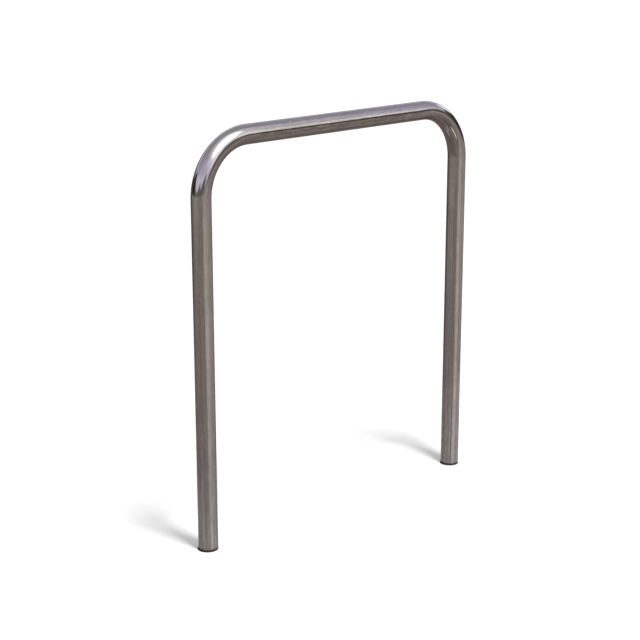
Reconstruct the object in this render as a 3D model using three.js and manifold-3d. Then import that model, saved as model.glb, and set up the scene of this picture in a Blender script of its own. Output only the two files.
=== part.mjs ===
import * as THREE from 'three';
import { mergeVertices } from 'three/addons/utils/BufferGeometryUtils.js';
import Module from 'manifold-3d';

// A hoop to lean and lock a bicycle against: one length of stainless tube, bent twice, whose two legs
// are cast into concrete footings. Sizes are in millimetres and +Z is up. The hoop stands in the XZ
// plane, and the origin is at ground level, midway between its legs.

// Hoop
const tubeDiameter = 42.4;
const tubeWall = 2;
const hoopWidth = 800; // outside to outside of the legs
const hoopHeight = 900; // ground to the top of the rail
const rootDepth = 300; // ground to the cut end of a leg
const bendRadius = 120; // to the tube's centreline
const endChamfer = 0.5; // both edges of each cut end are broken

// What the bending mandrel leaves: the section goes a little flat across the bend, and its outer wall
// is drawn thinner while the inner wall thickens
const bendFlatteningShare = 0.025; // of the offset from the centreline
const bendWallShiftShare = 0.12; // of the tube's wall
const bendEaseShare = 0.3; // of the bend's sweep, at each end, over which this comes in

// Anchor bars
const barDiameter = 12;
const barLength = 160;
const barHeight = 55; // above the cut end of the leg
const barChamfer = 1;
const weldLeg = 5; // of the fillet weld round the bar, on each side of the tube

// End caps
const capLip = 3;
const capLipInset = 0.4; // the lip is this much smaller than the tube, all round
const capLipChamfer = 0.8;
const capShankLength = 24;
const capShankWall = 2.2;
const capFloor = 3;
const capLeadIn = 1.2;
const capRibs = 4;
const capRibHeight = 1.4; // each rib stands out this far from the shank
const capRibLength = 2.6;

// Clearances
const seatGap = 0.3; // between faces that rest on each other
const holeClearance = 0.3; // between a bar and the wall of its hole, all round
const cutOverrun = 2; // a cutter runs this far past what it cuts

// Facets
const tubeSides = 48;
const bendSteps = 20;
const barSides = 28;
const capSides = 40;

const tubeRadius = tubeDiameter / 2;
const boreRadius = tubeRadius - tubeWall;
const midWallRadius = tubeRadius - tubeWall / 2;
const barRadius = barDiameter / 2;
const legOffset = hoopWidth / 2 - tubeRadius;
const railHeight = hoopHeight - tubeRadius;
const bendCentreX = legOffset - bendRadius;
const bendCentreZ = railHeight - bendRadius;

const wasm = await Module();
wasm.setup();

// Booleans work on closed meshes whose corners are shared

function toSolid(geometry) {
	const bare = geometry.index ? geometry.toNonIndexed() : geometry.clone();
	bare.deleteAttribute('normal');
	bare.deleteAttribute('uv');
	const merged = mergeVertices(bare);
	return new wasm.Manifold(new wasm.Mesh({
		numProp: 3,
		vertProperties: Float32Array.from(merged.attributes.position.array),
		triVerts: Uint32Array.from(merged.index.array),
	}));
}

function toGeometry(solid) {
	const mesh = solid.getMesh();
	const geometry = new THREE.BufferGeometry();
	geometry.setAttribute('position', new THREE.BufferAttribute(mesh.vertProperties, 3));
	geometry.setIndex(new THREE.BufferAttribute(mesh.triVerts, 1));
	geometry.computeVertexNormals();
	return geometry;
}

// Tube: an annular section swept through stations. A leg or the rail needs one step, and a bend many,
// so the stations are not evenly spaced along the curve: each one is a step of the sweep.

class StationCurve extends THREE.Curve {
	constructor(stations) {
		super();
		this.stations = stations;
	}

	station(u) {
		return this.stations[Math.round(u * (this.stations.length - 1))];
	}

	getPointAt(u, target = new THREE.Vector3()) {
		return target.copy(this.station(u).point);
	}

	getTangentAt(u, target = new THREE.Vector3()) {
		return target.copy(this.station(u).tangent);
	}
}

// heading is the way the tube runs, turned from straight up towards +X
function station(x, z, heading) {
	return {
		point: new THREE.Vector3(x, 0, z),
		tangent: new THREE.Vector3(Math.sin(heading), 0, Math.cos(heading)),
	};
}

// side is -1 for the left bend, which leads up from its leg, and 1 for the right one
function bendStations(side) {
	const stations = [];
	for (let step = 0; step <= bendSteps; step++) {
		const turned = (Math.PI / 2) * (step / bendSteps);
		const heading = side < 0 ? turned : Math.PI / 2 + turned;
		const x = side * bendCentreX - bendRadius * Math.cos(heading);
		const z = bendCentreZ + bendRadius * Math.sin(heading);
		stations.push(station(x, z, heading));
	}
	return stations;
}

function hoopStations() {
	const up = 0;
	const down = Math.PI;
	return [
		station(-legOffset, -rootDepth, up),
		station(-legOffset, -rootDepth + endChamfer, up),
		...bendStations(-1),
		...bendStations(1),
		station(legOffset, -rootDepth + endChamfer, down),
		station(legOffset, -rootDepth, down),
	];
}

function annulus(outerRadius, innerRadius) {
	const section = new THREE.Shape();
	section.absarc(0, 0, outerRadius, 0, 2 * Math.PI);
	const hole = new THREE.Path();
	hole.absarc(0, 0, innerRadius, 0, 2 * Math.PI, true);
	section.holes.push(hole);
	return section;
}

// Moves the sweep's corners in the two bends to the section that bending leaves
function shapeBends(geometry) {
	const corners = geometry.attributes.position;
	const corner = new THREE.Vector3();
	for (let i = 0; i < corners.count; i++) {
		corner.fromBufferAttribute(corners, i);
		const side = Math.sign(corner.x);
		const outward = side * corner.x - bendCentreX;
		const upward = corner.z - bendCentreZ;
		if (outward <= 0 || upward <= 0) continue;
		const turned = Math.atan2(upward, outward) / (Math.PI / 2);
		const eased = THREE.MathUtils.smoothstep(Math.min(turned, 1 - turned), 0, bendEaseShare);
		const offset = Math.hypot(outward, upward) - bendRadius;
		const onBore = Math.hypot(offset, corner.y) < midWallRadius;
		const shift = onBore ? bendWallShiftShare * tubeWall * eased : 0;
		const flattened = offset * (1 - bendFlatteningShare * eased) + shift;
		const stretch = (bendRadius + flattened) / (bendRadius + offset);
		const x = side * (bendCentreX + outward * stretch);
		const y = corner.y * (1 + bendFlatteningShare * eased);
		corners.setXYZ(i, x, y, bendCentreZ + upward * stretch);
	}
}

// Draws in the outer edge of each cut end and opens its bore, to break both edges
function chamferEnds(geometry) {
	const corners = geometry.attributes.position;
	for (let i = 0; i < corners.count; i++) {
		const x = corners.getX(i);
		const y = corners.getY(i);
		const z = corners.getZ(i);
		if (z > -rootDepth + endChamfer / 2) continue;
		const legX = Math.sign(x) * legOffset;
		const radius = Math.hypot(x - legX, y);
		const moved = radius > midWallRadius ? radius - endChamfer : radius + endChamfer;
		corners.setXYZ(i, legX + (x - legX) * (moved / radius), y * (moved / radius), z);
	}
}

function hoopTube() {
	const stations = hoopStations();
	const sweep = new THREE.ExtrudeGeometry(annulus(tubeRadius, boreRadius), {
		extrudePath: new StationCurve(stations),
		steps: stations.length - 1,
		curveSegments: tubeSides / 2,
	});
	shapeBends(sweep);
	chamferEnds(sweep);
	let tube = toSolid(sweep);
	for (const side of [-1, 1]) {
		const length = tubeDiameter + 2 * cutOverrun;
		const hole = new THREE.CylinderGeometry(
			barRadius + holeClearance, barRadius + holeClearance, length, barSides);
		hole.translate(side * legOffset, 0, -rootDepth + barHeight);
		tube = tube.subtract(toSolid(hole));
	}
	return toGeometry(tube);
}

// Anchor bar: a round bar along Y with a fillet weld on each side of the leg. A weld is a cone round
// the bar, cut back to the tube's round face, so its foot is saddle shaped.

function anchorBar() {
	const end = barLength / 2;
	const bar = new THREE.LatheGeometry([
		new THREE.Vector2(0, -end),
		new THREE.Vector2(barRadius - barChamfer, -end),
		new THREE.Vector2(barRadius, -end + barChamfer),
		new THREE.Vector2(barRadius, end - barChamfer),
		new THREE.Vector2(barRadius - barChamfer, end),
		new THREE.Vector2(0, end),
	], barSides);
	const footRadius = barRadius + weldLeg;
	const footY = Math.sqrt(tubeRadius ** 2 - footRadius ** 2);
	const toeY = tubeRadius + weldLeg;
	const weld = new THREE.LatheGeometry([
		new THREE.Vector2(0, -toeY),
		new THREE.Vector2(barRadius, -toeY),
		new THREE.Vector2(footRadius, -footY),
		new THREE.Vector2(footRadius, footY),
		new THREE.Vector2(barRadius, toeY),
		new THREE.Vector2(0, toeY),
	], barSides);
	const leg = new THREE.CylinderGeometry(
		tubeRadius + seatGap, tubeRadius + seatGap, 2 * footRadius + 2 * cutOverrun, tubeSides);
	leg.rotateX(Math.PI / 2);
	const welds = toSolid(weld).subtract(toSolid(leg));
	return toGeometry(toSolid(bar).add(welds));
}

// End cap: a moulded insert, turned about the leg's axis. Height 0 is the cut end of the leg.

function endCap() {
	const lipRadius = tubeRadius - capLipInset;
	const ribRadius = boreRadius - seatGap;
	const shankRadius = ribRadius - capRibHeight;
	const cupRadius = shankRadius - capShankWall;
	const lipTop = -seatGap;
	const lipBottom = lipTop - capLip;
	const cupFloor = lipBottom + capFloor;
	const ribPitch = (capShankLength - capLeadIn - capRibLength) / capRibs;
	const profile = [
		new THREE.Vector2(0, lipBottom),
		new THREE.Vector2(lipRadius - capLipChamfer, lipBottom),
		new THREE.Vector2(lipRadius, lipBottom + capLipChamfer),
		new THREE.Vector2(lipRadius, lipTop),
		new THREE.Vector2(shankRadius, lipTop),
	];
	for (let rib = 0; rib < capRibs; rib++) {
		const foot = capRibLength / 2 + rib * ribPitch;
		profile.push(
			new THREE.Vector2(shankRadius, foot),
			new THREE.Vector2(ribRadius, foot),
			new THREE.Vector2(shankRadius, foot + capRibLength),
		);
	}
	profile.push(
		new THREE.Vector2(shankRadius, capShankLength - capLeadIn),
		new THREE.Vector2(shankRadius - capLeadIn, capShankLength),
		new THREE.Vector2(cupRadius, capShankLength),
		new THREE.Vector2(cupRadius, cupFloor),
		new THREE.Vector2(0, cupFloor),
	);
	return new THREE.LatheGeometry(profile, capSides);
}

const hoopSteel = new THREE.MeshStandardMaterial({ color: 0x9a9290, roughness: 0.3, metalness: 1 });
const anchorSteel = new THREE.MeshStandardMaterial({ color: 0x85827e, roughness: 0.55, metalness: 1 });
const capPlastic = new THREE.MeshStandardMaterial({ color: 0x1b1c1e, roughness: 0.6, metalness: 0 });

function named(name, geometry, material) {
	const mesh = new THREE.Mesh(geometry, material.clone());
	mesh.name = name;
	return mesh;
}

// What each leg carries below the ground, measured from its cut end
function root(sideName, x) {
	const group = new THREE.Group();
	group.position.set(x, 0, -rootDepth);
	const bar = named(`${sideName}_anchor_bar`, anchorBar(), anchorSteel);
	bar.position.z = barHeight;
	const cap = named(`${sideName}_end_cap`, endCap(), capPlastic);
	cap.rotation.x = Math.PI / 2;
	group.add(bar, cap);
	return group;
}

const hoop = new THREE.Group();
hoop.add(named('hoop_tube', hoopTube(), hoopSteel));
hoop.add(root('left', -legOffset));
hoop.add(root('right', legOffset));

export default hoop;
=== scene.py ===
# %% [markdown]
# # A hoop to lean a bicycle against
# One stainless tube is bent twice, cast into the ground by its two legs, and left with a satin
# finish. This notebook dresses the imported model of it: the tube as one smooth bent skin with a real
# wall, the anchor bars with their weld beads, the moulded end caps, and then the finishes and light.

# %% Load the frame
from math import atan2, cos, degrees, hypot, pi, radians, sin, sqrt, tau

import bmesh
import bpy
from mathutils import Matrix, Vector


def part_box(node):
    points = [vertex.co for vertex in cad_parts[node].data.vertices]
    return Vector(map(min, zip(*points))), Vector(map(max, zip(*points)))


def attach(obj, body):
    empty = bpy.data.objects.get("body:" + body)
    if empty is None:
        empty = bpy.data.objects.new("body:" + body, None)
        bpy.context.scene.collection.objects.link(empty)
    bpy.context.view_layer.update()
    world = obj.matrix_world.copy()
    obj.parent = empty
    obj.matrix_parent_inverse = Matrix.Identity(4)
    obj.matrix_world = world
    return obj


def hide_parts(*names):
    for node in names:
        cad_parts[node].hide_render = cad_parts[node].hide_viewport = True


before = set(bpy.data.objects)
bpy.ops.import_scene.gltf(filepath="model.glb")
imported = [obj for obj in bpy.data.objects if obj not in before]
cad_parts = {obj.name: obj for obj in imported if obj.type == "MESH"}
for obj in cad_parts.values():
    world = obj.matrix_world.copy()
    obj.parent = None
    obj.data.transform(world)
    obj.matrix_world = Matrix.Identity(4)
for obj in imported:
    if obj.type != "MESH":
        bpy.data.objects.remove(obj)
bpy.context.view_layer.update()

# %% [markdown]
# ## Camera
# The hoop is seen from its left front and a little above. A round tube's outline depends only on
# where the camera stands, so the place, the heading and the lens below come from matching the outline
# of a hoop of the real size. A long lens keeps the far leg nearly as thick as the near one.

# %% Stand the camera
CAMERA_PLACE = Vector((-2.2457, -2.3862, 1.3547))
CAMERA_HEADING = radians(42.567)  # turned from +Y towards +X
CAMERA_TILT = radians(15.665)  # looking down
LENS_MM = 85.87

camera = bpy.data.objects.new("camera", bpy.data.cameras.new("camera"))
camera.data.sensor_width = 36
camera.data.lens = LENS_MM
camera.location = CAMERA_PLACE
camera.rotation_euler = (pi / 2 - CAMERA_TILT, 0, -CAMERA_HEADING)
bpy.context.scene.collection.objects.link(camera)
bpy.context.scene.camera = camera
print(f"camera {CAMERA_PLACE.length:.2f} m from the ground under the rail, {LENS_MM:.0f} mm lens")

# %% [markdown]
# ## Sizes
# The frame already knows how wide, high and deep the hoop is. Only what a box cannot tell is written
# here: the tube's diameter and wall, and the radius of its bends.

# %% Read the hoop's sizes
TUBE_RADIUS = 0.0424 / 2
TUBE_WALL = 0.002
BEND_RADIUS = 0.120
BEND_FLATTENING = 0.025  # of the tube's radius
BEND_EASE = 0.3  # share of a bend over which the flattening comes in, and the same where it goes out

tube_low, tube_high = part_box("hoop_tube")
LEG_X = tube_high.x - TUBE_RADIUS
RAIL_Z = tube_high.z - TUBE_RADIUS
ROOT_Z = tube_low.z
BEND_X = LEG_X - BEND_RADIUS
BEND_Z = RAIL_Z - BEND_RADIUS
bar_low, bar_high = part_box("left_anchor_bar")
BAR_Z = (bar_low.z + bar_high.z) / 2
BAR_LENGTH = bar_high.y - bar_low.y
cap_low, cap_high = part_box("left_end_cap")
print(f"legs {2 * LEG_X * 1000:.1f} mm apart, rail {RAIL_Z * 1000:.1f} mm up, "
      f"roots {-ROOT_Z * 1000:.0f} mm deep")

# %% [markdown]
# ## From a bmesh to a piece
# Every piece leaves the same way: its doubles are merged, its faces are turned outwards, it is shaded
# smooth, and only edges that are sharp on the real thing stay sharp. Its place is in its mesh, so the
# object itself sits at the origin.

# %% Finish a bmesh as a piece
SHARP_ANGLE = radians(32)
MERGE_DISTANCE = 1e-6


def shade(bm):
    for face in bm.faces:
        face.smooth = True
    for edge in bm.edges:
        edge.smooth = edge.calc_face_angle(0) < SHARP_ANGLE


def piece_from(bm, name):
    bmesh.ops.remove_doubles(bm, verts=bm.verts, dist=MERGE_DISTANCE)
    bmesh.ops.recalc_face_normals(bm, faces=bm.faces)
    shade(bm)
    mesh = bpy.data.meshes.new(name)
    bm.to_mesh(mesh)
    bm.free()
    piece = bpy.data.objects.new(name, mesh)
    bpy.context.scene.collection.objects.link(piece)
    return piece


def only_verts(geometry):
    return [g for g in geometry if isinstance(g, bmesh.types.BMVert)]


def edges_within(verts):
    kept = set(verts)
    return [e for e in {e for v in verts for e in v.link_edges} if set(e.verts) <= kept]


# %% [markdown]
# ## The bent tube
# The real tube starts straight and is drawn twice round a bending die. The mesh follows the same
# order: a ring is extruded up the left leg, spun round the first bend, pulled along the rail, spun
# round the second bend and run down the right leg. Spinning gives a true arc, which a curve with
# handles only comes near to.

# %% Grow the skin of the tube
RING_SIDES = 96
BEND_STEPS = 64
HOLE_BAND = 0.009  # rings this far above and below a cross hole keep its faces off the leg


def run(bm, rim, move):
    made = bmesh.ops.extrude_edge_only(bm, edges=rim)
    verts = only_verts(made["geom"])
    bmesh.ops.translate(bm, verts=verts, vec=move)
    return edges_within(verts)


def bend(bm, rim, centre):
    verts = list({v for e in rim for v in e.verts})
    made = bmesh.ops.spin(bm, geom=verts + rim, cent=centre, axis=(0, 1, 0), angle=pi / 2,
                          steps=BEND_STEPS, use_merge=False, use_duplicate=False)
    return edges_within(only_verts(made["geom_last"]))


def climb(bm, rim, heights):
    for lower, upper in zip(heights, heights[1:]):
        rim = run(bm, rim, (0, 0, upper - lower))
    return rim


tube = bmesh.new()
ring = bmesh.ops.create_circle(tube, segments=RING_SIDES, radius=TUBE_RADIUS,
                               matrix=Matrix.Translation((-LEG_X, 0, ROOT_Z)))["verts"]
leg_heights = [ROOT_Z, BAR_Z - HOLE_BAND, BAR_Z + HOLE_BAND, 0, BEND_Z]
rim = climb(tube, edges_within(ring), leg_heights)
rim = bend(tube, rim, (-BEND_X, 0, BEND_Z))
rim = run(tube, rim, (2 * BEND_X, 0, 0))
rim = bend(tube, rim, (BEND_X, 0, BEND_Z))
climb(tube, rim, leg_heights[::-1])
print(f"skin of {len(tube.faces)} faces")

# %% [markdown]
# ## What bending does to the section
# A tube drawn round a die goes slightly flat across the bend and slightly wide beside it. On this
# hoop it is a fortieth of the radius: nobody would measure it by eye, yet it makes the reflections
# pinch and run wide through the bend as they do on the real one. It comes in and dies away smoothly.

# %% Flatten the bends


def smoothstep(share):
    share = min(1, max(0, share))
    return share * share * (3 - 2 * share)


for vert in tube.verts:
    outward, upward = abs(vert.co.x) - BEND_X, vert.co.z - BEND_Z
    if outward <= 0 or upward <= 0:
        continue
    turned = atan2(upward, outward) / (pi / 2)
    eased = smoothstep(min(turned, 1 - turned) / BEND_EASE)
    reach = hypot(outward, upward)
    offset = reach - BEND_RADIUS
    stretch = (reach - offset * BEND_FLATTENING * eased) / reach
    side = 1 if vert.co.x > 0 else -1
    vert.co.x = side * (BEND_X + outward * stretch)
    vert.co.z = BEND_Z + upward * stretch
    vert.co.y *= 1 + BEND_FLATTENING * eased
widest = max(vert.co.y for vert in tube.verts)
print(f"{2 * TUBE_RADIUS * 1000:.1f} mm across, and {2 * widest * 1000:.1f} mm wide in the bends")

# %% [markdown]
# ## Wall, cut ends and cross holes
# Solidify gives the skin its wall and closes the ring at each cut end, and a small bevel breaks those
# edges as a deburring tool would. The cross holes for the anchor bars are drilled last, with a
# boolean, because they pass square through a finished tube.

# %% Give the tube its wall
END_BEVEL = 0.0005

bmesh.ops.recalc_face_normals(tube, faces=tube.faces)
bmesh.ops.solidify(tube, geom=tube.faces[:], thickness=TUBE_WALL)
bmesh.ops.remove_doubles(tube, verts=tube.verts, dist=MERGE_DISTANCE)
tube.normal_update()
cut_edges = [e for e in tube.edges if e.calc_face_angle(0) > SHARP_ANGLE]
bmesh.ops.bevel(tube, geom=cut_edges, offset=END_BEVEL, segments=2, profile=0.5, affect="EDGES",
                material=-1)
hoop = piece_from(tube, "hoop")
print(f"wall {TUBE_WALL * 1000:.1f} mm thick, {len(hoop.data.polygons)} faces")

# %% Drill the cross holes
BAR_RADIUS = 0.012 / 2
BAR_SIDES = 48
HOLE_RADIUS = BAR_RADIUS + 0.0003


def along_y(x, z):
    return Matrix.Translation((x, 0, z)) @ Matrix.Rotation(pi / 2, 4, "X")


def drill():
    bm = bmesh.new()
    for side in (-1, 1):
        bmesh.ops.create_cone(bm, cap_ends=True, segments=BAR_SIDES, radius1=HOLE_RADIUS,
                              radius2=HOLE_RADIUS, depth=3 * TUBE_RADIUS,
                              matrix=along_y(side * LEG_X, BAR_Z))
    return piece_from(bm, "drill")


cutter = drill()
boolean = hoop.modifiers.new("cross holes", "BOOLEAN")
boolean.operation = "DIFFERENCE"
boolean.solver = "EXACT"
boolean.object = cutter
drilled = bpy.data.meshes.new_from_object(hoop.evaluated_get(bpy.context.evaluated_depsgraph_get()))
hoop.modifiers.clear()
hoop.data = drilled
bpy.data.objects.remove(cutter)
print(f"drilled tube: {len(drilled.polygons)} faces")

# %% [markdown]
# ## Coordinates for the grain
# The tube is linished before it is bent, so its grain runs along it and round both bends. Object
# coordinates would draw straight lines through the bends. Instead each vertex remembers where it lay
# on the straight tube: two numbers across the section, and the length along it. A noise stretched
# along that length then follows the metal everywhere, with no seam.

# %% Remember the straight tube
GRAIN_MAP = "unbent"
BEND_ARC = BEND_RADIUS * pi / 2


def unbent(point):
    outward, upward = abs(point.x) - BEND_X, point.z - BEND_Z
    if upward <= 0:
        across, along = abs(point.x) - LEG_X, BEND_X + BEND_ARC - upward
    elif outward <= 0:
        across, along = point.z - RAIL_Z, abs(point.x)
    else:
        across = hypot(outward, upward) - BEND_RADIUS
        along = BEND_X + BEND_RADIUS * atan2(outward, upward)
    return across, point.y, along if point.x > 0 else -along


after_drilling = bmesh.new()
after_drilling.from_mesh(hoop.data)
shade(after_drilling)
after_drilling.to_mesh(hoop.data)
after_drilling.free()
grain_map = hoop.data.attributes.new(GRAIN_MAP, "FLOAT_VECTOR", "POINT")
for vert, entry in zip(hoop.data.vertices, grain_map.data):
    entry.vector = unbent(vert.co)
print(f"tube cut to {2 * (BEND_X + BEND_ARC + BEND_Z - ROOT_Z):.3f} m before bending")

# %% [markdown]
# ## Anchor bars and weld beads
# Below the ground a short bar goes right through each leg, and a fillet weld holds it on both sides.
# A bead is laid by hand, so it is a row of overlapping ripples. Here a small circle is spun round the
# bar, and its points are then moved: in and out for the ripples, and back along the bar so that the
# bead's foot follows the round face of the tube.

# %% Make the anchor bars
BAR_BEVEL = 0.001
BEAD_RADIUS = 0.0034
BEAD_SIDES = 16
BEAD_STEPS = 120
RIPPLES = 30
RIPPLE_DEPTH = 0.07  # of the bead's own radius


def add_bar(bm, x):
    made = bmesh.ops.create_cone(bm, cap_ends=True, segments=BAR_SIDES, radius1=BAR_RADIUS,
                                 radius2=BAR_RADIUS, depth=BAR_LENGTH, matrix=along_y(x, BAR_Z))
    rims = [e for e in edges_within(made["verts"]) if e.calc_face_angle(0) > SHARP_ANGLE]
    bmesh.ops.bevel(bm, geom=rims, offset=BAR_BEVEL, segments=3, profile=0.5, affect="EDGES",
                    material=-1)


def add_bead(bm, x, face):
    """face is -1 for the bead on the tube's front and 1 for the one on its back."""
    start = Vector((x + BAR_RADIUS + BEAD_RADIUS / 2, face * (TUBE_RADIUS + BEAD_RADIUS / 2), BAR_Z))
    circle = bmesh.ops.create_circle(bm, segments=BEAD_SIDES, radius=BEAD_RADIUS,
                                     matrix=Matrix.Translation(start))["verts"]
    before = set(bm.verts) - set(circle)
    bmesh.ops.spin(bm, geom=circle + edges_within(circle), cent=(x, 0, BAR_Z), axis=(0, 1, 0),
                   angle=tau, steps=BEAD_STEPS, use_merge=True, use_duplicate=False)
    for vert in set(bm.verts) - before:
        across, up = vert.co.x - x, vert.co.z - BAR_Z
        reach = hypot(across, up)
        wave = RIPPLE_DEPTH * sin(RIPPLES * atan2(up, across))
        ripple = 1 + wave * (reach - BAR_RADIUS) / BEAD_RADIUS
        swell = (BAR_RADIUS + (reach - BAR_RADIUS) * ripple) / reach
        saddle = TUBE_RADIUS - sqrt(TUBE_RADIUS ** 2 - across ** 2)
        vert.co = Vector((x + across * swell, vert.co.y - face * saddle, BAR_Z + up * swell))


def anchor(name, x):
    bm = bmesh.new()
    add_bar(bm, x)
    for face in (-1, 1):
        add_bead(bm, x, face)
    return piece_from(bm, name)


left_anchor = anchor("left_anchor", -LEG_X)
right_anchor = anchor("right_anchor", LEG_X)
print(f"anchor bars {BAR_LENGTH * 1000:.0f} mm long, {-BAR_Z * 1000:.0f} mm below the ground")

# %% [markdown]
# ## End caps
# A push-in cap is moulded in one piece: a lip as wide as the tube, a hollow shank, and a few ribs
# shaped like barbs that bite the bore. It is round all over, so half of its section is drawn once and
# spun about the leg's axis. The lip keeps the mould's small radius.

# %% Turn the end caps
CAP_SEGMENTS = 96
CAP_SEAT_GAP = 0.0003
LIP_THICKNESS = 0.003
LIP_BEVEL = 0.0008
LIP_STEPS = 4
RIB_RADIUS = TUBE_RADIUS - TUBE_WALL - CAP_SEAT_GAP
SHANK_RADIUS = RIB_RADIUS - 0.0014
SHANK_WALL = 0.0022
SHANK_LEAD_IN = 0.0012
RIBS = 4
RIB_LENGTH = 0.0026
GATE_RADIUS = 0.002
GATE_DEPTH = 0.0004


def cap_section():
    lip_radius = (cap_high.x - cap_low.x) / 2
    lip_top = ROOT_Z - CAP_SEAT_GAP
    cup_floor = cap_low.z + LIP_THICKNESS
    pitch = (cap_high.z - ROOT_Z - SHANK_LEAD_IN - RIB_LENGTH) / RIBS
    section = [
        (0, cap_low.z + GATE_DEPTH),
        (GATE_RADIUS, cap_low.z + GATE_DEPTH),
        (GATE_RADIUS + GATE_DEPTH, cap_low.z),
        (lip_radius - LIP_BEVEL, cap_low.z),
    ]
    for step in range(1, LIP_STEPS + 1):
        turn = step / LIP_STEPS * pi / 2
        inward, upward = LIP_BEVEL * (1 - sin(turn)), LIP_BEVEL * (1 - cos(turn))
        section.append((lip_radius - inward, cap_low.z + upward))
    section += [(lip_radius, lip_top), (SHANK_RADIUS, lip_top)]
    for rib in range(RIBS):
        foot = ROOT_Z + RIB_LENGTH / 2 + rib * pitch
        section += [(SHANK_RADIUS, foot), (RIB_RADIUS, foot), (SHANK_RADIUS, foot + RIB_LENGTH)]
    return section + [
        (SHANK_RADIUS, cap_high.z - SHANK_LEAD_IN),
        (SHANK_RADIUS - SHANK_LEAD_IN, cap_high.z),
        (SHANK_RADIUS - SHANK_WALL, cap_high.z),
        (SHANK_RADIUS - SHANK_WALL, cup_floor),
        (0, cup_floor),
    ]


def end_cap(name, x):
    bm = bmesh.new()
    verts = [bm.verts.new((x + radius, 0, z)) for radius, z in cap_section()]
    edges = [bm.edges.new(pair) for pair in zip(verts, verts[1:])]
    bmesh.ops.spin(bm, geom=verts + edges, cent=(x, 0, 0), axis=(0, 0, 1), angle=tau,
                   steps=CAP_SEGMENTS, use_merge=True, use_duplicate=False)
    return piece_from(bm, name)


left_cap = end_cap("left_cap", -LEG_X)
right_cap = end_cap("right_cap", LEG_X)
print(f"caps {(cap_high.z - cap_low.z) * 1000:.1f} mm tall, {RIBS} ribs each")

# %% [markdown]
# ## Which piece stands for which node
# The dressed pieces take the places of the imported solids, and all of them ride on the one body.

# %% Bind the pieces to the frame
for piece, node, slot in (
    (hoop, "hoop_tube", "satin_stainless"),
    (left_anchor, "left_anchor_bar", "anchor_stainless"),
    (right_anchor, "right_anchor_bar", "anchor_stainless"),
    (left_cap, "left_end_cap", "cap_plastic"),
    (right_cap, "right_end_cap", "cap_plastic"),
):
    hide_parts(node)
    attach(piece, "root")
    print(f"{piece.name} stands for {node}")

# %% [markdown]
# ## Writing shaders as sums
# A finish is mostly arithmetic on masks, and a page of node calls hides it. The class below wraps a
# node's output, so that `1 - mask` or `grain * 0.3 + smudge` adds the Math nodes by itself.
# Everything that is not plain arithmetic comes from one method, `node`.

# %% Wrap a socket
class Wire:
    """The output of a shader node, with arithmetic."""

    def __init__(self, shader, socket):
        self.shader, self.socket = shader, socket

    def maths(self, operation, *values):
        return self.shader.node("ShaderNodeMath", {"operation": operation}, dict(enumerate(values)))

    def __add__(self, other):
        return self.maths("ADD", self, other)

    def __sub__(self, other):
        return self.maths("SUBTRACT", self, other)

    def __rsub__(self, other):
        return self.maths("SUBTRACT", other, self)

    def __mul__(self, other):
        return self.maths("MULTIPLY", self, other)

    def __abs__(self):
        return self.maths("ABSOLUTE", self)

    __radd__, __rmul__ = __add__, __mul__


class Shader:
    """A node tree that is written as expressions."""

    def __init__(self, tree):
        self.tree = tree
        tree.nodes.clear()

    def node(self, kind, settings=None, sockets=None, output=0):
        made = self.tree.nodes.new(kind)
        for name, value in (settings or {}).items():
            setattr(made, name, value)
        for name, value in (sockets or {}).items():
            if isinstance(value, Wire):
                self.tree.links.new(value.socket, made.inputs[name])
            else:
                made.inputs[name].default_value = value
        return Wire(self, made.outputs[output])

    def mix(self, share, start, end):
        """start where share is 0, end where it is 1; the node takes colours at sockets 6 and 7."""
        start, end = [c if isinstance(c, Wire) else (*c, 1) for c in (start, end)]
        return self.node("ShaderNodeMix", {"data_type": "RGBA"}, {0: share, 6: start, 7: end}, 2)

    def step(self, value, low, high):
        """0 below low, 1 above high, and smooth between; low may be the larger."""
        return self.node("ShaderNodeMapRange", {"interpolation_type": "SMOOTHSTEP"},
                         {"Value": value, "From Min": low, "From Max": high})

    def stretch(self, vector, factors):
        return self.node("ShaderNodeVectorMath", {"operation": "MULTIPLY"}, {0: vector, 1: factors})

    def noise(self, vector, detail=2.0, roughness=0.5):
        """Noise from 0 to 1 whose features are about 1 apart in the vector's own units."""
        return self.node("ShaderNodeTexNoise", {},
                         {"Vector": vector, "Scale": 1.0, "Detail": detail, "Roughness": roughness})

    def parts(self, vector):
        return [self.node("ShaderNodeSeparateXYZ", {}, {0: vector}, i) for i in range(3)]

    def place(self):
        return self.node("ShaderNodeTexCoord", {}, {}, "Object")

    def bump(self, height):
        """height is in metres."""
        return self.node("ShaderNodeBump", {}, {"Height": height, "Distance": 1.0, "Strength": 1.0})

    def surface(self, sockets):
        return self.node("ShaderNodeBsdfPrincipled", {}, sockets)

    def finish(self, wire, kind="ShaderNodeOutputMaterial"):
        self.tree.links.new(wire.socket, self.tree.nodes.new(kind).inputs["Surface"])


# %% Make and lay on a material
def new_material(name, kind=Shader):
    material = bpy.data.materials.new(name)
    material.use_nodes = True
    return material, kind(material.node_tree)


def dress(material, *pieces):
    for piece in pieces:
        piece.data.materials.clear()
        piece.data.materials.append(material)
    names = " and ".join(piece.name for piece in pieces)
    print(f"{material.name} on {names}: {len(material.node_tree.nodes)} nodes")


# %% [markdown]
# ## Satin stainless
# A linished tube is neither mirror bright nor evenly dull. A belt runs along it and leaves fine
# scratches, which smear a reflection sideways. A picture of scratches could be wrapped round the tube,
# but it would show a seam and repeat along the legs. So every mark is noise on the straight tube's
# coordinates, drawn out along its length, and the class below has words for places on the metal.

# %% Mark out the tube
BELT_REACH = 0.005  # how far inside a bend, from the leg, the hollow side's painted shade ends


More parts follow.
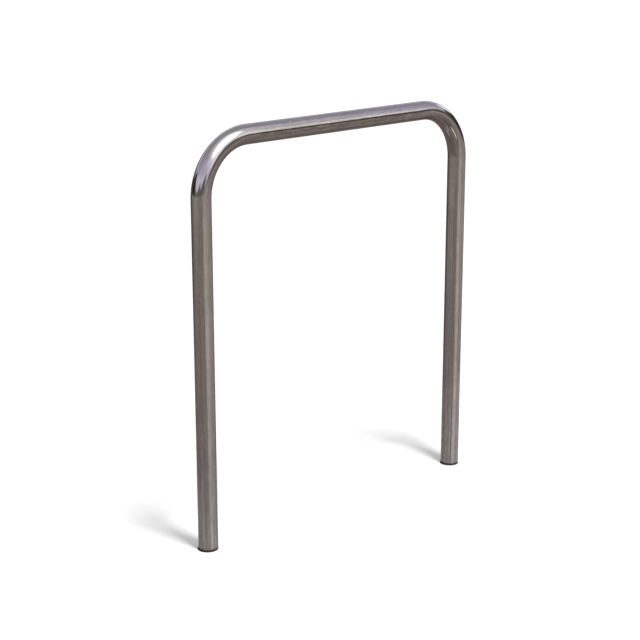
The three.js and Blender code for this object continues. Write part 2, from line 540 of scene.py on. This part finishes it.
class Satin(Shader):
    """The tube's shader, with words for places on the metal."""

    def __init__(self, tree):
        super().__init__(tree)
        self.straight = self.node("ShaderNodeAttribute", {"attribute_name": GRAIN_MAP}, {}, "Vector")
        self.across, self.back, self.signed_along = self.parts(self.straight)
        self.along = abs(self.signed_along)
        self.height = self.parts(self.place())[2]

    def lines(self, fineness, shortness, detail=2.0, roughness=0.5):
        """Noise drawn out along the tube; the first two numbers are features in a metre."""
        drawn_out = self.stretch(self.straight, (fineness, fineness, shortness))
        return self.noise(drawn_out, detail, roughness)

    def on_bend(self, soft, crisp):
        """Soft where a bend leaves the rail, crisp a little way inside the bend from the leg."""
        end = BEND_X + BEND_ARC - BELT_REACH
        off_rail = self.step(self.along, BEND_X - soft, BEND_X + soft)
        return off_rail * self.step(self.along, end + crisp, end - crisp)


# %% [markdown]
# ## Shade in the bends, and die marks
# The hollow side of each bend is painted darker, as painted shade, and made a little rougher, with a
# crisp end a little way inside the bend from the leg and a soft one at the rail. The bending die
# scuffs both hollows a little and leaves three pale marks on the right bend, whose paleness is partly
# painted highlight.

# %% Shade the hollow sides and mark the bends
HOLLOW_FADE = 0.003
HOLLOW_START = 0.030
LEFT_HOLLOW, RIGHT_HOLLOW = 0.001, -0.009  # where it starts, from the tube's middle outwards
SCUFF_STRENGTH = 0.15
FRONT_FADE = 0.001  # the die marks lie on the front, where the coordinate called back is below 0
# pale die marks, whose paleness is partly painted highlight
DRAG_MARKS = (  # on the right bend: across, start and end along the tube, half width, strength
    (-0.0108, 0.346, 0.401, 0.0022, 1.0),
    (-0.0165, 0.336, 0.376, 0.0014, 0.30),
    (-0.0190, 0.344, 0.386, 0.0014, 0.38),
)


# painted shade: the darker, slightly rougher hollow side of each bend
def hollow_sides(shader):
    towards_right = shader.step(shader.signed_along, -BEND_X, BEND_X)
    edge = towards_right * (RIGHT_HOLLOW - LEFT_HOLLOW) + LEFT_HOLLOW
    hollow = shader.step(shader.across - edge, HOLLOW_FADE, -HOLLOW_FADE)
    return hollow * shader.on_bend(HOLLOW_START, HOLLOW_FADE)


# die marks and scuffs painted pale: partly real marks, partly painted highlight
def die_marks(shader, hollow):
    marks = shader.step(shader.lines(300, 12, 1.0), 0.56, 0.70) * hollow * SCUFF_STRENGTH
    front = shader.step(shader.back, 0, -FRONT_FADE)
    for across, start, end, half_width, strength in DRAG_MARKS:
        width = shader.step(abs(shader.across - across), half_width, 0) * front
        middle, reach = (start + end) / 2, (end - start) / 2
        length = shader.step(abs(shader.signed_along - middle), reach, reach / 3)
        marks = marks.maths("MAXIMUM", marks, width * length * strength)
    return marks


# %% [markdown]
# ## A darker rail band, paler feet and shade at the ground
# The rail gets a darker band along its middle, broken up by noise. Towards the ground the legs turn
# paler and less metallic: partly a dusty film, partly painted reflection of the paler ground near
# the feet. Right at the ground a dark line is painted on the tube: painted shade where the leg meets
# the floor.

# %% Band the rail, pale the feet and shade the ground line
RUB_ACROSS, RUB_OUTER, RUB_INNER = -0.0010, 0.0085, 0.0030  # the band's middle, edge and full part
RAIL_GONE, RAIL_FULL = BEND_X + 0.03, BEND_X - 0.05
# painted shade: a dark line on the tube where it meets the floor
GRIME_HEIGHT, GRIME_EDGE = 0.004, 0.003
GRIME_GONE, GRIME_FULL = -0.012, -0.002  # below the ground
# paler and less metallic towards the ground: partly a dusty film, partly painted reflection
DUST_HEIGHT, DUST_RAGGED = 0.36, 0.10


# a darker band along the middle of the rail, broken up by noise
def rubbed_band(shader, on_rail, knocks):
    band = shader.step(abs(shader.across - RUB_ACROSS), RUB_OUTER, RUB_INNER) * on_rail
    return band * (0.15 + 0.8 * shader.step(knocks, 0.30, 0.60))


# painted shade where each leg meets the floor
def ground_line(shader):
    ragged = shader.lines(160, 0)
    grime = shader.step(shader.height, GRIME_HEIGHT + GRIME_EDGE, GRIME_HEIGHT - GRIME_EDGE * ragged)
    return grime * shader.step(shader.height, GRIME_GONE, GRIME_FULL)


# %% [markdown]
# ## All the layers of the steel
# The colour starts as two tints of steel in long bands. Each layer then lies over the ones before it:
# first what is broad and faint, last what is small and strong. The same noises raise and sink the
# surface too, because a scratch is a shape before it is a colour: the grain by a few thousandths of a
# millimetre, and the long waves, which bend a reflection rather than blur it, by a fifth of one.

# %% Finish the hoop
STEEL_OLIVE = (0.643, 0.614, 0.566)
STEEL_MAUVE = (0.618, 0.583, 0.594)
STEEL_SCRATCH = (0.40, 0.38, 0.37)
STEEL_BRIGHT = (0.74, 0.72, 0.71)
# a darker band along the middle of the rail
STEEL_RUBBED = (0.30, 0.27, 0.255)
# painted shade in the hollow side of each bend
STEEL_DULL = (0.415, 0.372, 0.356)
# pale die marks, partly painted highlight
STEEL_DRAGGED = (0.78, 0.72, 0.70)
# paler lower legs: partly a dusty film, partly painted reflection of the paler ground
STEEL_DUSTY = (0.715, 0.705, 0.707)
# painted shade at the ground line
STEEL_GRIME = (0.050, 0.044, 0.040)
BASE_ROUGHNESS = 0.12
GRAIN_DEPTH, NICK_DEPTH, STREAK_DEPTH = 0.0000035, 0.000025, 0.00004
WAVE_DEPTH, DENT_DEPTH = 0.00020, 0.00018


def satin_stainless():
    material, shader = new_material("satin stainless", Satin)
    step, lines = shader.step, shader.lines

    grain, nicks = lines(1400, 9, 3.0), lines(330, 45)
    streaks, glints = lines(190, 2.5), lines(230, 3.5)
    bands, waves, dents = lines(90, 4, 1.0), lines(42, 5, 1.0), lines(45, 20, 1.0)
    smudges, knocks = lines(30, 13, 3.0, 0.6), lines(170, 55, 3.0, 0.6)

    on_rail = step(shader.along, RAIL_GONE, RAIL_FULL)
    # a darker band along the middle of the rail
    rubbed = rubbed_band(shader, on_rail, knocks)
    # painted shade in the hollow side of each bend
    hollow = hollow_sides(shader)
    # die marks, partly painted highlight
    drags = die_marks(shader, hollow)
    # painted shade at the ground line
    grime = ground_line(shader)
    # paler and less metallic towards the ground: partly a dusty film, partly painted reflection
    dust = step(shader.height + smudges * DUST_RAGGED, DUST_HEIGHT, 0)

    colour = shader.mix(step(bands, 0.38, 0.62), STEEL_OLIVE, STEEL_MAUVE)
    # painted shade: hollow sides, ground line; partly painted light: paler feet, pale die marks
    for cover, tint in (
        (dust, STEEL_DUSTY),
        (step(smudges, 0.42, 0.64) * (0.40 - 0.14 * dust), STEEL_SCRATCH),
        (step(streaks, 0.48, 0.64) * 0.5, STEEL_SCRATCH),
        (step(glints, 0.52, 0.66) * (0.35 + 0.45 * dust), STEEL_BRIGHT),
        (step(nicks, 0.42, 0.62) * 0.28, STEEL_SCRATCH),
        (grain * 0.16, STEEL_SCRATCH),
        (step(knocks, 0.42, 0.66) * (0.20 + 0.34 * on_rail), STEEL_SCRATCH),
        (rubbed * 0.85, STEEL_RUBBED),
        (hollow * 0.85, STEEL_DULL),
        (drags, STEEL_DRAGGED),
        (grime * 0.85, STEEL_GRIME),
    ):
        colour = shader.mix(cover, colour, tint)

    roughness = BASE_ROUGHNESS + (streaks - 0.5) * 0.10 + step(smudges, 0.45, 0.75) * 0.06
    roughness = roughness + hollow * 0.06 + drags * 0.30 + grime * 0.35
    bare = 1 - step(glints, 0.50, 0.66) * dust * 0.16 - dust * 0.08 - drags * 0.75

    relief = grain * GRAIN_DEPTH + nicks * NICK_DEPTH + streaks * STREAK_DEPTH
    relief = relief + waves * WAVE_DEPTH + dents * DENT_DEPTH
    shader.finish(shader.surface({
        "Base Color": colour, "Metallic": bare, "Roughness": roughness, "Normal": shader.bump(relief),
    }))
    return material


dress(satin_stainless(), hoop)

# %% [markdown]
# ## Anchor steel and its welds
# The bars are cut from black-pickled stock, so they are greyer and duller than the tube, with a fine
# mill texture. Heat leaves its mark beside a stainless weld: straw nearest the bead, then blue. The
# distance from the leg's axis, which is the Y of the bar, is all the mask that this needs.

# %% Finish the anchors
MILL_GREY = (0.40, 0.39, 0.375)
MILL_DARK = (0.22, 0.215, 0.21)
HEAT_STRAW = (0.52, 0.38, 0.20)
HEAT_BLUE = (0.20, 0.23, 0.36)
BEAD_EDGE = TUBE_RADIUS + 1.5 * BEAD_RADIUS
STRAW_REACH, BLUE_REACH = 0.008, 0.004  # outwards from the bead's edge
MOTTLE_DEPTH, MILL_DEPTH = 0.00010, 0.00003


def anchor_stainless():
    material, shader = new_material("anchor stainless")
    place = shader.place()
    out = abs(shader.parts(place)[1])
    mottle = shader.noise(shader.stretch(place, (260, 90, 260)), 4.0, 0.6)
    mill = shader.noise(shader.stretch(place, (1100, 700, 1100)))
    straw = shader.step(out, BEAD_EDGE + STRAW_REACH, BEAD_EDGE)
    blue = straw * shader.step(out, BEAD_EDGE, BEAD_EDGE + BLUE_REACH)
    colour = shader.mix(shader.step(mottle, 0.35, 0.70), MILL_GREY, MILL_DARK)
    colour = shader.mix(straw * 0.6, colour, HEAT_STRAW)
    colour = shader.mix(blue * 0.7, colour, HEAT_BLUE)
    shader.finish(shader.surface({
        "Base Color": colour, "Metallic": 1.0, "Roughness": 0.34 + mottle * 0.22,
        "Normal": shader.bump(mottle * MOTTLE_DEPTH + mill * MILL_DEPTH),
    }))
    return material


dress(anchor_stainless(), left_anchor, right_anchor)

# %% [markdown]
# ## Cap plastic
# The caps are black polyethylene, moulded with a fine spark-eroded texture on the lip and scuffed
# grey where they were hammered home.

# %% Finish the caps
PLASTIC_BLACK = (0.018, 0.018, 0.020)
PLASTIC_SCUFF = (0.085, 0.083, 0.080)
SPARK_DEPTH, SCUFF_DEPTH = 0.00003, 0.00008


def cap_plastic():
    material, shader = new_material("cap plastic")
    place = shader.place()
    height = shader.parts(place)[2]
    sparks = shader.noise(shader.stretch(place, (2600, 2600, 2600)))
    patches = shader.noise(shader.stretch(place, (140, 140, 140)), 4.0, 0.65)
    struck = shader.step(height, cap_low.z + LIP_BEVEL, cap_low.z) * shader.step(patches, 0.50, 0.68)
    shader.finish(shader.surface({
        "Base Color": shader.mix(struck * 0.7, PLASTIC_BLACK, PLASTIC_SCUFF),
        "Roughness": 0.46 + patches * 0.16 + struck * 0.15,
        "Normal": shader.bump(sparks * SPARK_DEPTH + patches * struck * SCUFF_DEPTH),
    }))
    return material


dress(cap_plastic(), left_cap, right_cap)

# %% [markdown]
# ## Floor
# The hoop stands in a plain pale floor, which hides its roots. Where each leg goes in, a narrow dark
# ring lies on the floor, a little wider on one side. Polished metal shows what is round it more than
# what it is made of, and a white floor would make the legs look white. So the floor lets mirror rays
# through to the surroundings below it, and only the camera and soft light see it pale.

# %% Lay the floor
FLOOR_RADIUS = 2
FLOOR_SIDES = 128
FLOOR_WHITE = (0.86, 0.86, 0.86, 1)
JOINT_DARK = (0.012, 0.010, 0.009, 1)
JOINT_WIDTH = 0.0012
JOINT_SHIFT = Vector((-0.0016, -0.0003, 0))
JOINT_LIFT = 0.0002


def pale_floor():
    material, shader = new_material("pale floor")
    matt = shader.node("ShaderNodeBsdfDiffuse", {}, {"Color": FLOOR_WHITE})
    clear = shader.node("ShaderNodeBsdfTransparent")
    mirror_ray = shader.node("ShaderNodeLightPath", {}, {}, "Is Glossy Ray")
    shader.finish(shader.node("ShaderNodeMixShader", {}, {0: mirror_ray, 1: matt, 2: clear}))
    return material


def joint_dark():
    material, shader = new_material("foot ring dark")
    shader.finish(shader.node("ShaderNodeBsdfDiffuse", {}, {"Color": JOINT_DARK}))
    return material


ground = bmesh.new()
bmesh.ops.create_circle(ground, cap_ends=True, segments=FLOOR_SIDES, radius=FLOOR_RADIUS)
floor = piece_from(ground, "floor")
dress(pale_floor(), floor)

# a narrow dark ring on the floor round each leg, a little wider on one side
joint = bmesh.new()
for side in (-1, 1):
    place = Matrix.Translation(Vector((side * LEG_X, 0, JOINT_LIFT)) + JOINT_SHIFT)
    rings = [bmesh.ops.create_circle(joint, segments=RING_SIDES, radius=radius, matrix=place)["verts"]
             for radius in (TUBE_RADIUS - TUBE_WALL, TUBE_RADIUS + JOINT_WIDTH)]
    bmesh.ops.bridge_loops(joint, edges=edges_within(rings[0]) + edges_within(rings[1]))
joint_line = piece_from(joint, "joint_line")
dress(joint_dark(), joint_line)

# %% [markdown]
# ## Surroundings
# What gives bare metal its look is what it mirrors. Here that is a bright break in a violet-grey sky
# behind the viewer, a dark line of trees along the horizon, a hedge beyond the hoop, and paving that
# shines under the break and darkens near by. Each is a short formula on the direction of the ray: its
# elevation, and its bearing from a named azimuth, where 0 is along +Y and 90 along +X. The numbers in
# the formulas are degrees. Only mirror rays see any of it. Everything else is lit by an even white
# dome, as in a studio.

# %% Read the ray's direction
def direction(azimuth, elevation):
    a, e = radians(azimuth), radians(elevation)
    return Vector((sin(a) * cos(e), cos(a) * cos(e), sin(e)))


class Outlook(Shader):
    """The world's shader, with words for where a ray is going."""

    def __init__(self, tree):
        super().__init__(tree)
        self.ray = self.node("ShaderNodeTexCoord", {}, {}, "Generated")
        self.level = self.node("ShaderNodeVectorMath", {"operation": "NORMALIZE"},
                               {0: self.stretch(self.ray, (1, 1, 0))})
        height = self.parts(self.ray)[2]
        self.elevation = height.maths("ARCSINE", height) * degrees(1)

    def along(self, azimuth, elevation=0):
        """Cosine of the angle between the ray and a direction."""
        return self.node("ShaderNodeVectorMath", {"operation": "DOT_PRODUCT"},
                         {0: self.ray, 1: direction(azimuth, elevation)}, "Value")

    def bearing(self, azimuth):
        """Degrees from an azimuth, positive clockwise seen from above."""
        beside = self.along(azimuth + 90)
        return beside.maths("ARCTAN2", beside, self.along(azimuth)) * degrees(1)

    def near(self, azimuth, outer, inner=0):
        """1 within inner degrees of an azimuth and 0 beyond outer."""
        return self.step(abs(self.bearing(azimuth)), outer, inner)

    def glow(self, azimuth, elevation, outer, inner):
        """1 within inner degrees of a direction and 0 beyond outer."""
        cosine = self.along(azimuth, elevation)
        return self.step(cosine, cos(radians(outer)), cos(radians(inner)))

    def blend(self, operation, first, second):
        return self.node("ShaderNodeVectorMath", {"operation": operation}, {0: first, 1: second})

    def evenly(self, value):
        """A number as a grey."""
        return self.node("ShaderNodeCombineXYZ", {}, {0: value, 1: value, 2: value})


# %% [markdown]
# ### Sky
# The sky is lavender low down and greyer overhead, with billows of noise through all of it. The break
# draws the white line along the tube. Each of the fainter lights is the same formula with other
# numbers, so they stand in one table and are added up in a loop.

# %% Paint the sky
SKY_LOW = (0.84, 0.79, 0.96)
SKY_MIDDLE = (0.44, 0.43, 0.54)
SKY_HIGH = (0.36, 0.365, 0.385)
SKY_LAVENDER = (0.66, 0.61, 0.82)
LAVENDER = (-122, 36, 50, 5)  # azimuth, elevation, and how far from there it ends and is full
HAZE_CREAM = (0.42, 0.42, 0.21)
HAZE = (150, 14, 30, 4)
BREAK = (178, 56)
BREAK_ENDS, BREAK_FULL = 30, 15
BREAK_WHITE = 2.0
SKY_LIGHTS = (  # azimuth, elevation, how far from there each ends and is full, brightness
    (*BREAK, 48, 22, 0.35),  # the pale rim of the break
    (-110, 78, 30, 10, 0.3),  # a veil overhead
    (77, 17, 10, 4, 1.3),  # a gap between the trees
    (178, 20, 12, 3, 0.45),  # a gleam low under the break
    (120, 42, 20, 4, 0.16),  # thin cloud
)


def sky(outlook):
    elevation = outlook.elevation
    colour = outlook.mix(outlook.step(elevation, 16, 34), SKY_LOW, SKY_MIDDLE)
    lavender = outlook.glow(*LAVENDER) * outlook.step(elevation, 16, 30)
    colour = outlook.mix(lavender, colour, SKY_LAVENDER)
    colour = outlook.mix(outlook.step(elevation, 40, 64), colour, SKY_HIGH)
    billows = outlook.noise(outlook.stretch(outlook.ray, (6, 6, 6)), 4.0, 0.6) - 0.5
    colour = outlook.blend("MULTIPLY", colour, outlook.evenly(1 + billows * 0.5))
    haze = outlook.mix(outlook.glow(*HAZE), (0, 0, 0), HAZE_CREAM)
    cloud = outlook.step(outlook.along(*BREAK) + billows * 0.10,
                         cos(radians(BREAK_ENDS)), cos(radians(BREAK_FULL)))
    light = cloud * BREAK_WHITE
    for *place, brightness in SKY_LIGHTS:
        light = light + outlook.glow(*place) * brightness
    return outlook.blend("ADD", outlook.blend("ADD", colour, haze), outlook.evenly(light))


# %% [markdown]
# ### Horizon and ground
# Trees are the step between sky and ground. Their top line rises in clumps and is ragged with noise.
# The paving is a far and a near brown, with the break's shine across it and a few paler patches where
# it is worn.

# %% Stand trees on the horizon
TREE_LINE = 5
TREE_RAGGED = 3.5
TREE_EDGE = 2.0
TREE_CLUMPS = (  # azimuth, spread and rise, all in degrees
    (-46, 34, 19), (98, 34, 14), (128, 14, 8), (156, 22, 12),
    (-152, 20, 13), (-113, 14, 9), (-176, 15, -8), (-88, 14, -3),
)
TREE_SHADE = ((-38, 44, 16), (92, 34, 12))  # azimuth, and how far from there it ends and is full
TREE_FAINT_SHADE = (137, 14, 4)
TREES_HAZY = (0.160, 0.142, 0.138)
TREES_DARK = (0.040, 0.033, 0.031)


def trees(outlook, behind):
    ragged = outlook.noise(outlook.stretch(outlook.level, (9, 9, 9)), 3.0, 0.6) - 0.5
    top = TREE_LINE + ragged * TREE_RAGGED
    for azimuth, spread, rise in TREE_CLUMPS:
        top = top + outlook.near(azimuth, spread) * rise
    left, right = (outlook.near(*place) for place in TREE_SHADE)
    shaded = left.maths("MAXIMUM", left, right) + 0.3 * outlook.near(*TREE_FAINT_SHADE)
    leaves = outlook.mix(shaded, TREES_HAZY, TREES_DARK)
    return outlook.mix(outlook.step(outlook.elevation - top, TREE_EDGE, -TREE_EDGE), behind, leaves)


# %% Lay the paving
PAVING_GLARE = (0.350, 0.305, 0.280)
PAVING_FAR = (0.275, 0.236, 0.216)
PAVING_NEAR = (0.222, 0.190, 0.180)
PAVING_SHINE = (2.14, 2.26, 2.36)  # how much brighter, and cooler, it is under the break
PAVING_WORN = (  # paler patches: azimuth, spread, elevations where each begins and is full, gain
    (-133, 40, -17.5, -21, 0.40),
    (-85, 36, -15.5, -11.5, 0.26),
    (116, 30, -16, -21, 0.28),
    (130, 13, -8, -13, 0.18),
)


def paving(outlook):
    elevation, round_break = outlook.elevation, outlook.bearing(BREAK[0])
    colour = outlook.mix(outlook.step(elevation, -6, -15), PAVING_GLARE, PAVING_FAR)
    lower = 10 * outlook.near(170, 32, 14)
    colour = outlook.mix(outlook.step(elevation + lower, -14, -23), colour, PAVING_NEAR)
    patches = outlook.noise(outlook.stretch(outlook.level, (14, 14, 14)), 3.0, 0.6)
    shine = 0.66 * outlook.step(round_break, -38, -4) + 0.34 * outlook.step(round_break, -104, -84)
    shine = shine * outlook.step(round_break, 32, 14) * (0.75 + 0.5 * patches)
    shine = shine * outlook.step(elevation, -1, -16) * outlook.step(elevation, -36, -14)
    colour = outlook.blend("MULTIPLY", colour, outlook.mix(shine, (1, 1, 1), PAVING_SHINE))
    for azimuth, spread, begins, full, gain in PAVING_WORN:
        worn = outlook.near(azimuth, spread) * outlook.step(elevation, begins, full)
        colour = outlook.blend("MULTIPLY", colour, outlook.evenly(1 + worn * gain))
    return outlook.blend("MULTIPLY", colour, outlook.evenly(0.80 + 0.40 * patches))


# %% [markdown]
# ### Who sees what
# The camera sees plain white, mirror rays see the surroundings, and all other rays see the dome. The
# dome and the strip light together light the floor a little past white, so that faint shadows drown.

# %% Join the surroundings
WHITE = (1, 1, 1, 1)
DOME_LIGHT = 0.66
BACKDROP = 1.1
HEDGE = (0.060, 0.058, 0.058)
HEDGE_PLACE = (22, 62, 38)
HEDGE_COVER = 0.8


def white_light(outlook, strength):
    return outlook.node("ShaderNodeBackground", {}, {"Color": WHITE, "Strength": strength})


def surroundings(tree):
    outlook = Outlook(tree)
    sky_and_trees = trees(outlook, sky(outlook))
    scene = outlook.mix(outlook.step(outlook.elevation, -3, -6), sky_and_trees, paving(outlook))
    hedge = outlook.near(*HEDGE_PLACE) * outlook.step(outlook.elevation, 24, 6)
    hedge = hedge * outlook.step(outlook.elevation, -23, -13) * HEDGE_COVER
    scene = outlook.mix(hedge, scene, HEDGE)
    mirrored = outlook.node("ShaderNodeBackground", {}, {"Color": scene, "Strength": 1.0})
    camera_ray = outlook.node("ShaderNodeLightPath", {}, {}, "Is Camera Ray")
    mirror_ray = outlook.node("ShaderNodeLightPath", {}, {}, "Is Glossy Ray")
    plain = outlook.node("ShaderNodeMixShader", {}, {0: camera_ray, 1: white_light(outlook, DOME_LIGHT),
                                                     2: white_light(outlook, BACKDROP)})
    outlook.finish(outlook.node("ShaderNodeMixShader", {}, {0: mirror_ray, 1: plain, 2: mirrored}),
                   "ShaderNodeOutputWorld")


world = bpy.data.worlds.new("surroundings")
world.use_nodes = True
bpy.context.scene.world = world
surroundings(world.node_tree)
print(f"{len(world.node_tree.nodes)} nodes in the surroundings")

# %% [markdown]
# ## Key light
# A leg's shadow is firm and dark at the ground, widens a little and is gone within 30 cm, and the
# rail throws none that can be seen. A small round lamp would draw the whole hoop on the floor. A
# strip light does not: its width makes a leg's shadow wider and softer with height, and its length,
# which runs from low to high, spreads the shadow of the level rail too thin to see. It hangs high up
# and a few metres in front, which is why the two shadows lean a little apart.

# %% Hang the strip light
STRIP_AZIMUTH, STRIP_ELEVATION = 184, 73.3
STRIP_DISTANCE = 12.3
STRIP_WIDTH, STRIP_LENGTH = 1.6, 2.3
STRIP_WATTS = 1120

strip = bpy.data.objects.new("strip", bpy.data.lights.new("strip", "AREA"))
strip.data.shape = "RECTANGLE"
strip.data.size, strip.data.size_y = STRIP_WIDTH, STRIP_LENGTH
strip.data.energy = STRIP_WATTS
strip.visible_glossy = False
strip.location = direction(STRIP_AZIMUTH, STRIP_ELEVATION) * STRIP_DISTANCE
strip.rotation_euler = (-strip.location).to_track_quat("-Z", "Y").to_euler()
bpy.context.scene.collection.objects.link(strip)
bpy.context.scene.view_settings.view_transform = "Standard"
print(f"strip light {STRIP_WIDTH} by {STRIP_LENGTH} m, {strip.location.z:.1f} m up")
